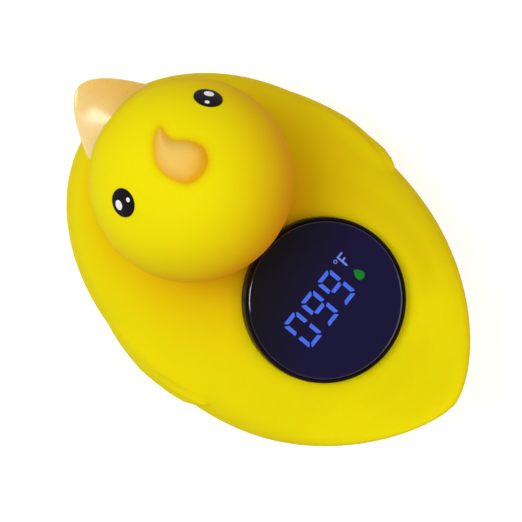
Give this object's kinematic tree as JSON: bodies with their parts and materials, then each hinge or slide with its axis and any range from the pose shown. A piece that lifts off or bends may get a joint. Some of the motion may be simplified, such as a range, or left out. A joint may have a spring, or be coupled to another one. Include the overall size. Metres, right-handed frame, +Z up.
{
  "type": "baby bath thermometer",
  "caption": "Floating duck bath thermometer: soft hollow duck with a round digital display in its back, a battery door and sensor pins underneath.",
  "frame": {"origin": "centre of the battery door's underside, on the display's axis, at the level that the duck stands on", "axes": "+X towards the bill, +Y to the duck's left, +Z up through the display"},
  "size_m": [0.1223, 0.0824, 0.0827],
  "materials": {
    "soft_yellow": "soft satin silicone, warm yellow",
    "glossy_peach": "glossy peach",
    "soft_amber": "soft satin, peach fading to amber",
    "eye_black": "dark with two light dots",
    "tinted_window": "dark navy, glossy, lit marks show through",
    "seal_rubber": "matt grey",
    "housing_black": "dark brown black, satin",
    "mask_black": "matt black",
    "guide_white": "milky white",
    "board_green": "green solder mask",
    "chip_black": "black resin",
    "foot_white": "satin white",
    "contact_nickel": "nickel plated spring steel",
    "cell_steel": "bright pressed steel",
    "screw_steel": "stainless steel",
    "probe_steel": "polished stainless steel"
  },
  "bodies": {
    "root": {"duck_skin": "soft_yellow", "bill": "glossy_peach", "tuft": "soft_amber", "eye_left": "eye_black", "eye_right": "eye_black", "display_lens": "tinted_window", "lens_seal": "seal_rubber", "upper_housing": "housing_black", "digit_mask": "mask_black", "segment_guide": "guide_white", "display_board": "board_green", "mcu_chip": "chip_black", "housing_seal": "seal_rubber", "lower_housing": "foot_white", "contact_negative": "contact_nickel", "contact_positive": "contact_nickel", "coin_cell_1": "cell_steel", "coin_cell_2": "cell_steel", "battery_door": "foot_white", "door_seal": "seal_rubber", "door_screw": "screw_steel", "temperature_probe": "probe_steel", "thermistor": "chip_black", "water_contact_left": "probe_steel", "water_contact_right": "probe_steel", "housing_screw_1": "screw_steel", "housing_screw_2": "screw_steel", "housing_screw_3": "screw_steel"}
  },
  "joints": []
}
